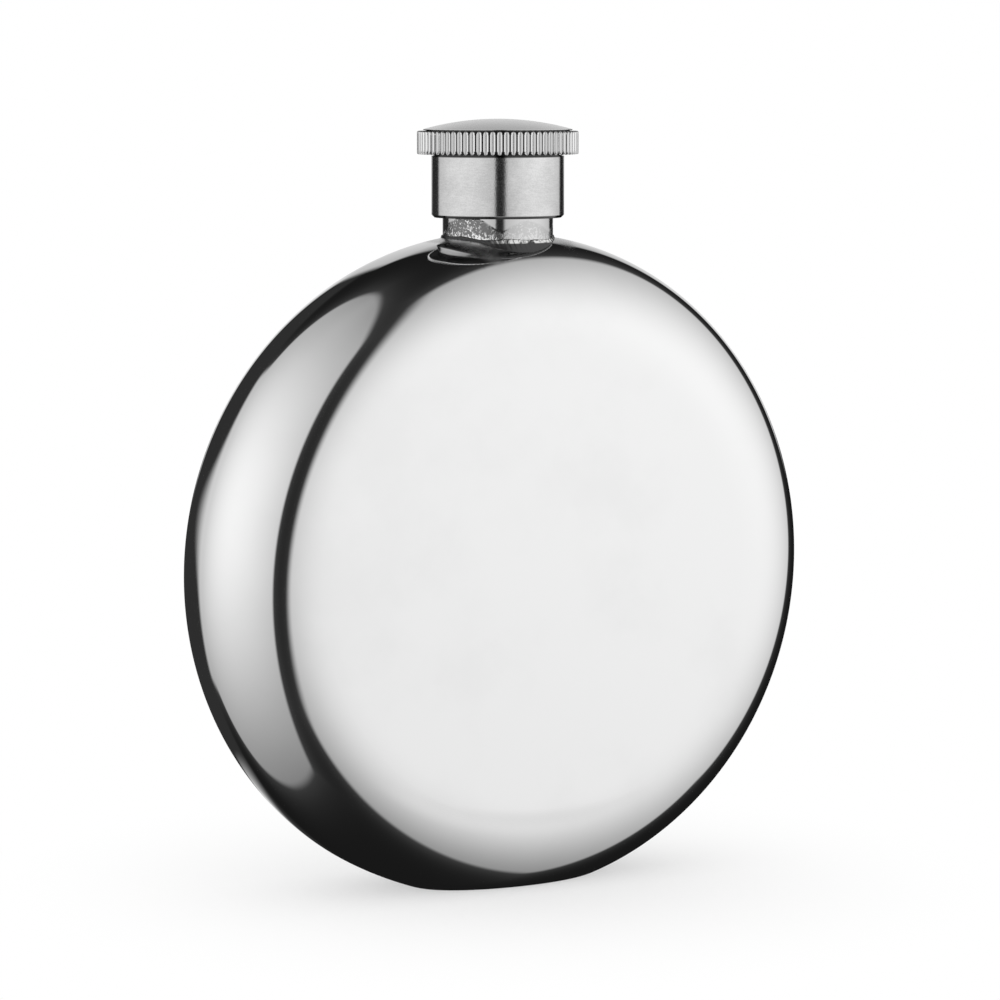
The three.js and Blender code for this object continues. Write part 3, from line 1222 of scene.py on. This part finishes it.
@dataclass
class Cap(SubAssembly):
    """Screw cap: threaded skirt, ribbed grip ring and domed top, with a washer inside."""

    thread: Thread
    chamfer: float = 0.42
    bore: float = 8.45
    lip: float = 0.4
    thread_start: float = 0.8
    thread_stop: float = 0.2
    thread_phase: float = 0.5
    boss: float = 6.5
    ring_fit: float = 0.2
    groove: float = 0.25
    seam_margin: float = 0.06
    rib_count: int = 72
    rib_depth: float = 0.42
    rib_columns: int = 16
    rib_tip: float = 0.5
    rib_share: float = 0.88
    rib_round: float = 0.5
    rib_least: float = 1e-3
    rib_crease: float = 50.0
    ring_bevel: float = 0.15
    ring_cover: float = 0.6
    ring_ends: tuple[float, ...] = (0.0, 0.06, 0.12, 0.2, 0.3, 0.42, 0.56, 0.72, 0.9)
    ring_middle: float = 1.15
    ring_rows: int = 9
    dome_edge: float = 0.13
    dome_undercut: float = 0.35
    dome_bend: float = 0.1
    dome_clear: float = 1.0
    washer_bore: float = 5.0
    washer_bend: float = 0.25
    washer_crease: float = 40.0
    columns: int = 192
    crease: float = 35.0

    def skirt(self) -> np.ndarray:
        """The skirt: a cup with a chamfered lower edge, a threaded bore and a boss for the ring.

        Returns:
            Lattice of points.
        """
        extent, ring, washer = (Extent.of("cap_" + name) for name in ("skirt", "grip_ring", "washer"))
        radius, low, shoulder = extent.radius, extent.bottom, ring.bottom
        waist, edge = radius - self.groove, shoulder - self.groove
        profile = np.concatenate(
            [
                straight((0.0, washer.top), (self.bore, washer.top), 6),
                straight((self.bore, washer.top), (self.bore, low + self.lip), 72)[1:],
                arc((self.bore + self.lip, low + self.lip), self.lip, 180.0, 270.0, 5)[1:],
                straight((radius - self.chamfer, low), (radius, low + self.chamfer), 2),
                straight((radius, low + self.chamfer), (radius, edge), 20)[1:],
                straight((waist, edge), (waist, shoulder), 2),
                straight((waist, shoulder), (self.boss, shoulder), 3)[1:],
                straight((self.boss, shoulder), (self.boss, extent.top), 3)[1:],
                straight((self.boss, extent.top), (0.0, extent.top), 4)[1:],
            ]
        )
        reach, angle, height = polar(turned(profile, self.columns))
        on_bore = np.abs(reach - self.bore) < ON_WALL
        start, stop = low + self.thread_start, washer.bottom - self.thread_stop
        rise = self.thread.rise(angle, height, start, stop, self.thread_phase)
        return from_polar(reach - np.where(on_bore, rise, 0.0), angle, height)

    def grip_ring(self) -> np.ndarray:
        """The ring: each rib is crowned across, round at its top and pointed at its foot.

        A rib's half width follows a quarter circle at the top and a quick taper at the foot. Over it the
        radius falls from a flat crest to steep flanks, and beyond it lies the floor of the groove.

        Returns:
            Lattice of points.
        """
        extent = Extent.of("cap_grip_ring")
        crest, low, high = extent.radius, extent.bottom, extent.top
        inner, floor = self.boss + self.ring_fit, crest - self.rib_depth
        ends = np.array(self.ring_ends)
        middle = np.linspace(self.ring_middle, high - low - self.ring_middle, self.ring_rows)
        height = np.concatenate([low + ends, low + middle, high - ends[::-1]])[:, None]
        angle = once_round(self.rib_count * self.rib_columns)[None, :]
        across = np.abs(2.0 * np.mod(self.rib_count * angle / math.tau, 1.0) - 1.0)
        from_top, from_foot = high - height, height - low
        rounding = np.sqrt(1.0 - np.clip(1.0 - from_top / self.rib_round, 0.0, 1.0) ** 2)
        taper = np.sqrt(np.clip(from_foot / self.rib_tip, 0.0, 1.0))
        half_width = self.rib_share * np.maximum(np.minimum(rounding, taper), self.rib_least)
        crown = np.sqrt(1.0 - np.minimum(across / half_width, 1.0) ** 2)
        bevels = (np.clip(1.0 - away / self.ring_bevel, 0.0, 1.0) ** 2 for away in (from_top, from_foot))
        ribs = floor + self.rib_depth * crown - self.ring_bevel * sum(bevels)
        cover = floor - self.ring_cover
        over = straight((cover, high), (inner, high), 3)
        under = straight((inner, low), (cover, low), 3)
        inside = turned(np.concatenate([over, under]), angle.shape[1])
        return np.concatenate([from_polar(ribs, angle, height), inside])

    def top_disc(self) -> np.ndarray:
        """The domed top: a shallow spherical cover over an undercut that makes the shadow line, which painted
        shade at the dome's foot deepens.

        Returns:
            Lattice of points.
        """
        extent = Extent.of("cap_top_disc")
        radius, low, high = extent.radius, extent.bottom, extent.top
        under, lip, bend = radius - self.dome_undercut, low + self.dome_edge, self.dome_bend
        rise = high - (low + 2.0 * self.dome_edge)
        sphere = (radius**2 + rise**2) / (2.0 * rise)
        span = math.degrees(math.asin(radius / sphere))
        profile = np.concatenate(
            [
                straight((0.0, low), (under, low), 4),
                straight((under, low), (under, lip), 2)[1:],
                arc((radius - bend, lip + bend), bend, -90.0, 0.0, 3),
                arc((0.0, high - sphere), sphere, 90.0 - span, 90.0, 36),
            ]
        )
        return turned(profile, self.columns)

    def washer(self) -> np.ndarray:
        """The washer: a flat ring with rounded edges.

        Returns:
            Lattice of points.
        """
        extent = Extent.of("cap_washer")
        bend = self.washer_bend
        outside, inside = extent.radius - bend, self.washer_bore + bend
        low, high = extent.bottom + bend, extent.top - bend
        corners = ((outside, low), (outside, high), (inside, high), (inside, low))
        starts = (-90.0, 0.0, 90.0, 180.0)
        bends = [arc(corner, bend, start, start + 90.0, 4) for corner, start in zip(corners, starts)]
        return turned(np.concatenate(bends), self.columns)

    def build(self) -> None:
        """Make the four pieces of the cap."""
        names = ("cap_skirt", "cap_grip_ring", "cap_top_disc")
        skirt_box, ring_box, disc_box = (Extent.of(name) for name in names)
        # The skirt's finish paints shade, near black, along its chamfered lower edge and in the groove under
        # the ring.
        satin = SatinSteel(skirt_box.bottom, ring_box.bottom, seam_reach=self.chamfer + self.seam_margin)
        skirt = Place("cap", "cap_skirt", "satin_steel")
        self.add("cap_skirt_satin", self.skirt(), Ends.POLES, skirt, satin, self.crease)
        # The ring's finish paints shade, near black, at the floor of the grooves.
        bright = BrightSteel(ring_box.radius, ring_box.radius - self.rib_depth)
        ring = Place("cap", "cap_grip_ring", "bright_steel")
        self.add("cap_grip_ribs", self.grip_ring(), Ends.LOOP, ring, bright, self.rib_crease)
        # The dome's finish paints shade, near black, at its foot under the lip; its upper seam lies above the
        # dome.
        brushed = SatinDome(disc_box.bottom, disc_box.top + self.dome_clear)
        disc = Place("cap", "cap_top_disc", "satin_steel")
        self.add("cap_top_dome", self.top_disc(), Ends.POLES, disc, brushed, self.crease)
        washer = Place("seal", "cap_washer", "silicone")
        self.add("cap_seal_ring", self.washer(), Ends.LOOP, washer, Silicone(), self.washer_crease)


def facing(plan: float) -> tuple[np.ndarray, np.ndarray]:
    """Directions that belong to a plan angle, 0 towards -X and 90 towards the front.

    Args:
        plan: Plan angle in degrees.

    Returns:
        The level direction with that plan angle, and the level direction of growing plan angles.
    """
    turn = math.radians(plan)
    across, ahead = math.cos(turn), math.sin(turn)
    return np.array([-across, -ahead, 0.0]), np.array([ahead, -across, 0.0])


@dataclass(frozen=True)
class Corner:
    """Corner of a light panel at unit distance, with the feather in degrees of the edge that begins there."""

    aside: float
    up: float
    feather: float


@dataclass(frozen=True)
class LightPanel:
    """A flat light panel far away, as the directions in which the flask sees it.

    Its plane stands at a plan angle, and its shape is made of convex polygons that overlap. The light fades
    from a hot spot towards the rim level, and a faint halo lies round it.
    """

    plan: float
    polygons: tuple[tuple[Corner, ...], ...]
    spot: Pair
    spot_size: Pair
    peak: float
    rim: float = 0.0
    halo: float = 0.0
    halo_reach: float = 5.0

    def edges(self, polygon: tuple[Corner, ...]) -> np.ndarray:
        """Planes through the flask and each edge of a polygon.

        Args:
            polygon: Its corners in order.

        Returns:
            Unit normals that point into the polygon.
        """
        ahead, aside = facing(self.plan)
        points = np.array([ahead + corner.aside * aside + [0.0, 0.0, corner.up] for corner in polygon])
        planes = np.cross(points, np.roll(points, -1, axis=0))
        planes *= np.sign(planes @ points.mean(axis=0))[:, None]
        return planes / np.linalg.norm(planes, axis=1, keepdims=True)

    def level(self, nodes: NodeTree, where: Signal, plan: Signal, height: Signal) -> Signal:
        """Brightness of the panel: its feathered window times a bell-shaped hot spot over the rim level.

        The angle to an edge is the dot product of the direction with the edge's plane.

        Args:
            nodes: Tree of the world.
            where: Direction as a vector.
            plan: Its plan angle in degrees.
            height: Its elevation in degrees.

        Returns:
            The brightness as a signal.
        """
        least, most = (functools.partial(nodes.math, kind) for kind in ("MINIMUM", "MAXIMUM"))
        windows, inside = [], []
        for polygon in self.polygons:
            angles = [nodes.dot(where, edge) for edge in self.edges(polygon)]
            halves = [math.radians(corner.feather) / 2.0 for corner in polygon]
            windows.append(math.prod(angle.ramp(-half, half) for angle, half in zip(angles, halves)))
            inside.append(functools.reduce(least, angles))
        window = functools.reduce(most, windows)
        outside = most(-functools.reduce(most, inside), 0.0)
        away = nodes.math("WRAP", plan - self.spot[0], 180.0, -180.0) / self.spot_size[0]
        over = (height - self.spot[1]) / self.spot_size[1]
        bell = nodes.math("EXPONENT", -(away * away + over * over))
        glow = nodes.math("EXPONENT", outside * (-RADIAN / self.halo_reach)) * self.halo
        return window * (self.rim + bell * (self.peak - self.rim)) + (1.0 - window) * glow


@dataclass(frozen=True)
class Card:
    """A soft oval bright card close to the flask, which only mirrors see, lying level or standing upright."""

    name: str
    centre: tuple[float, float, float]
    reach: Pair
    full_share: float
    level: float
    upright: bool = False

    def build(self) -> None:
        """Make the card and hide it from everything but glossy rays."""
        material, nodes = new_material(self.name)
        across, along, _ = nodes.split(nodes.place())
        x, y = across * (METRE / self.reach[0]), along * (METRE / self.reach[1])
        window = 1.0 - nodes.hypot(x, y).ramp(self.full_share, 1.0)
        clear = nodes.signal("ShaderNodeBsdfTransparent")
        light = nodes.signal("ShaderNodeEmission", None, {"Strength": self.level})
        nodes.close(nodes.mix(window, clear, light))
        card = lay_sheet(self.name, self.reach, material)
        card.location = np.array(self.centre) / METRE
        card.rotation_euler = (math.pi / 2.0 if self.upright else 0.0, 0.0, 0.0)
        card.visible_camera = card.visible_diffuse = card.visible_transmission = card.visible_shadow = False


@dataclass
class Studio:
    """Pale floor, white surround, and the light panels and near cards that the metal mirrors."""

    floor_reach: float = 3000.0
    floor_tint: float = 0.97
    clear_reach: float = 8.0
    fade_reach: float = 80.0
    shadow_share: float = 0.55
    fill: float = 1.0
    gloom: float = 0.0098
    flag_reach: tuple[float, float, float] = (29.0, 27.4, 20.5)
    flag_level: float = 0.02
    smear_height: float = 4.0
    smear_reach: float = 9.0

    def panels(self) -> list[LightPanel]:
        """The panels: one on each side of the camera with a dark gap between them, and one at the back.

        Returns:
            The panels of the studio.
        """
        side = LightPanel(
            plan=-5.8,
            polygons=(
                (
                    Corner(1.29, -2.11, 3.2),
                    Corner(3.3, 4.3, 4.0),
                    Corner(1.3, 6.6, 4.0),
                    Corner(-0.8, 6.5, 4.0),
                    Corner(-2.1, 4.3, 3.2),
                    Corner(-3.04, 0.0, 3.2),
                    Corner(-1.45, -1.53, 3.2),
                ),
            ),
            spot=(-1.3, 14.1),
            spot_size=(97.3, 62.4),
            peak=1.015,
            halo=0.044,
        )
        front = LightPanel(
            plan=139.6,
            polygons=(
                (
                    Corner(-2.73, -1.78, 5.0),
                    Corner(-0.6, -2.36, 4.0),
                    Corner(0.85, -2.48, 4.0),
                    Corner(0.92, 1.5, 4.0),
                    Corner(-1.5, 1.62, 8.0),
                ),
                (
                    Corner(-2.41, -0.9, 4.0),
                    Corner(0.92, -0.9, 4.0),
                    Corner(2.1, 0.6, 4.0),
                    Corner(2.2, 1.2, 4.0),
                    Corner(2.0, 1.55, 4.5),
                    Corner(-0.98, 3.05, 8.0),
                ),
            ),
            spot=(135.7, 8.0),
            spot_size=(89.6, 62.3),
            peak=1.032,
            rim=0.078,
            halo=0.046,
        )
        back = LightPanel(
            plan=-119.5,
            polygons=(
                (
                    Corner(-0.38, -0.02, 4.0),
                    Corner(0.4, -0.02, 4.0),
                    Corner(0.13, 0.95, 6.0),
                    Corner(-0.29, 0.95, 4.0),
                ),
            ),
            spot=(-119.5, 0.0),
            spot_size=(90.0, 41.0),
            peak=0.73,
        )
        return [side, front, back]

    def cards(self) -> list[Card]:
        """The cards: one behind the rear face, one over the cap, and one on the floor before and behind.

        Returns:
            The cards of the studio.
        """
        return [
            Card("rear_card", (6.0, 32.0, 48.0), (41.0, 41.0), 0.58, 0.86, upright=True),
            Card("top_card", (5.0, 5.0, 129.0), (14.0, 14.0), 0.5, 0.45),
            Card("front_floor_card", (10.0, -42.0, 0.3), (38.0, 18.0), 0.1, 0.8),
            Card("rear_floor_card", (0.0, 43.0, 0.3), (48.0, 21.0), 0.5, 0.74),
        ]

    def world(self) -> None:
        """White to the eye, the panels to shiny surfaces, and an even fill to matt ones.

        A round dark flag behind the flask covers the edge of the side panel. Its own edge is soft at one
        height and sharp above and below.
        """
        world = bpy.data.worlds.new("studio")
        bpy.context.scene.world = world
        world.use_nodes = True
        world.cycles.sampling_method = "NONE"
        nodes = NodeTree(world.node_tree)
        where = nodes.signal("ShaderNodeTexCoord", output="Generated")
        x, y, z = nodes.split(where)
        plan = nodes.math("ARCTAN2", -y, -x) * RADIAN
        height = nodes.math("ARCSINE", z) * RADIAN
        side, front, back = (panel.level(nodes, where, plan, height) for panel in self.panels())
        outer, sharp, soft = (math.cos(math.radians(angle)) for angle in self.flag_reach)
        over = (height - self.smear_height) / self.smear_reach
        smear = nodes.math("EXPONENT", -(over * over))
        flag = y.ramp(outer, sharp + smear * (soft - sharp))
        rays = nodes.node("ShaderNodeLightPath").outputs
        kinds = ("Camera", "Transmission", "Glossy")
        camera, through, glossy = (Signal(nodes, rays[f"Is {kind} Ray"]) for kind in kinds)
        seen = nodes.math("MAXIMUM", camera, through)
        mirrored = side * (1.0 - flag) + flag * self.flag_level + front + back + self.gloom
        level = seen + (1.0 - seen) * (glossy * mirrored + (1.0 - glossy) * self.fill)
        background = nodes.signal("ShaderNodeBackground", None, {"Color": WHITE, "Strength": level})
        nodes.node("ShaderNodeOutputWorld", None, {"Surface": background})

    def floor(self) -> None:
        """A pale matt floor that keeps the shadow near the flask and turns white further off."""
        material, nodes = new_material("floor_paper")
        length = {"operation": "LENGTH"}
        distance = nodes.signal("ShaderNodeVectorMath", length, {0: nodes.place()}, output="Value")
        near = (1.0 - distance.ramp(self.clear_reach / METRE, self.fade_reach / METRE)) * self.shadow_share
        matt = nodes.signal("ShaderNodeBsdfDiffuse", None, {"Color": (*[self.floor_tint] * 3, 1.0)})
        white = nodes.signal("ShaderNodeEmission", None, {"Color": WHITE, "Strength": 1.0})
        nodes.close(nodes.mix(near, white, matt))
        floor = lay_sheet("floor", (self.floor_reach, self.floor_reach), material)
        floor.visible_glossy = False

    def build(self) -> None:
        """Set the surround, the floor and the cards."""
        self.world()
        self.floor()
        for card in self.cards():
            card.build()
        bpy.context.scene.view_settings.view_transform = "Standard"


@dataclass(frozen=True)
class Viewpoint:
    """Camera of the photograph, fitted to the outline of the body."""

    azimuth: float = -28.872
    elevation: float = 5.973
    distance: float = 600.0
    target_height: float = 58.0
    lens: float = 143.46
    sensor: float = 36.0
    shift_x: float = 0.0022
    shift_y: float = -0.0020

    def build(self) -> None:
        """Make the camera and point it at the flask."""
        data = bpy.data.cameras.new("camera")
        data.lens, data.sensor_width = self.lens, self.sensor
        data.shift_x, data.shift_y = self.shift_x, self.shift_y
        camera = put_in_scene("camera", data)
        turn, rise = math.radians(self.azimuth), math.radians(self.elevation)
        back = Vector((math.sin(turn) * math.cos(rise), -math.cos(turn) * math.cos(rise), math.sin(rise)))
        camera.location = Vector((0.0, 0.0, self.target_height / METRE)) + back * (self.distance / METRE)
        camera.rotation_euler = (-back).to_track_quat("-Z", "Y").to_euler()
        bpy.context.scene.camera = camera


def main() -> None:
    """Build the flask in its studio."""
    logging.basicConfig(level=logging.INFO, format="%(name)s %(message)s")
    for leftover in list(bpy.data.objects):
        bpy.data.objects.remove(leftover)
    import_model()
    Viewpoint().build()
    Studio().build()
    thread = Thread()
    body = FlaskBody()
    body.build()
    Neck(body, thread).build()
    Cap(thread).build()


if __name__ == "__main__":
    main()
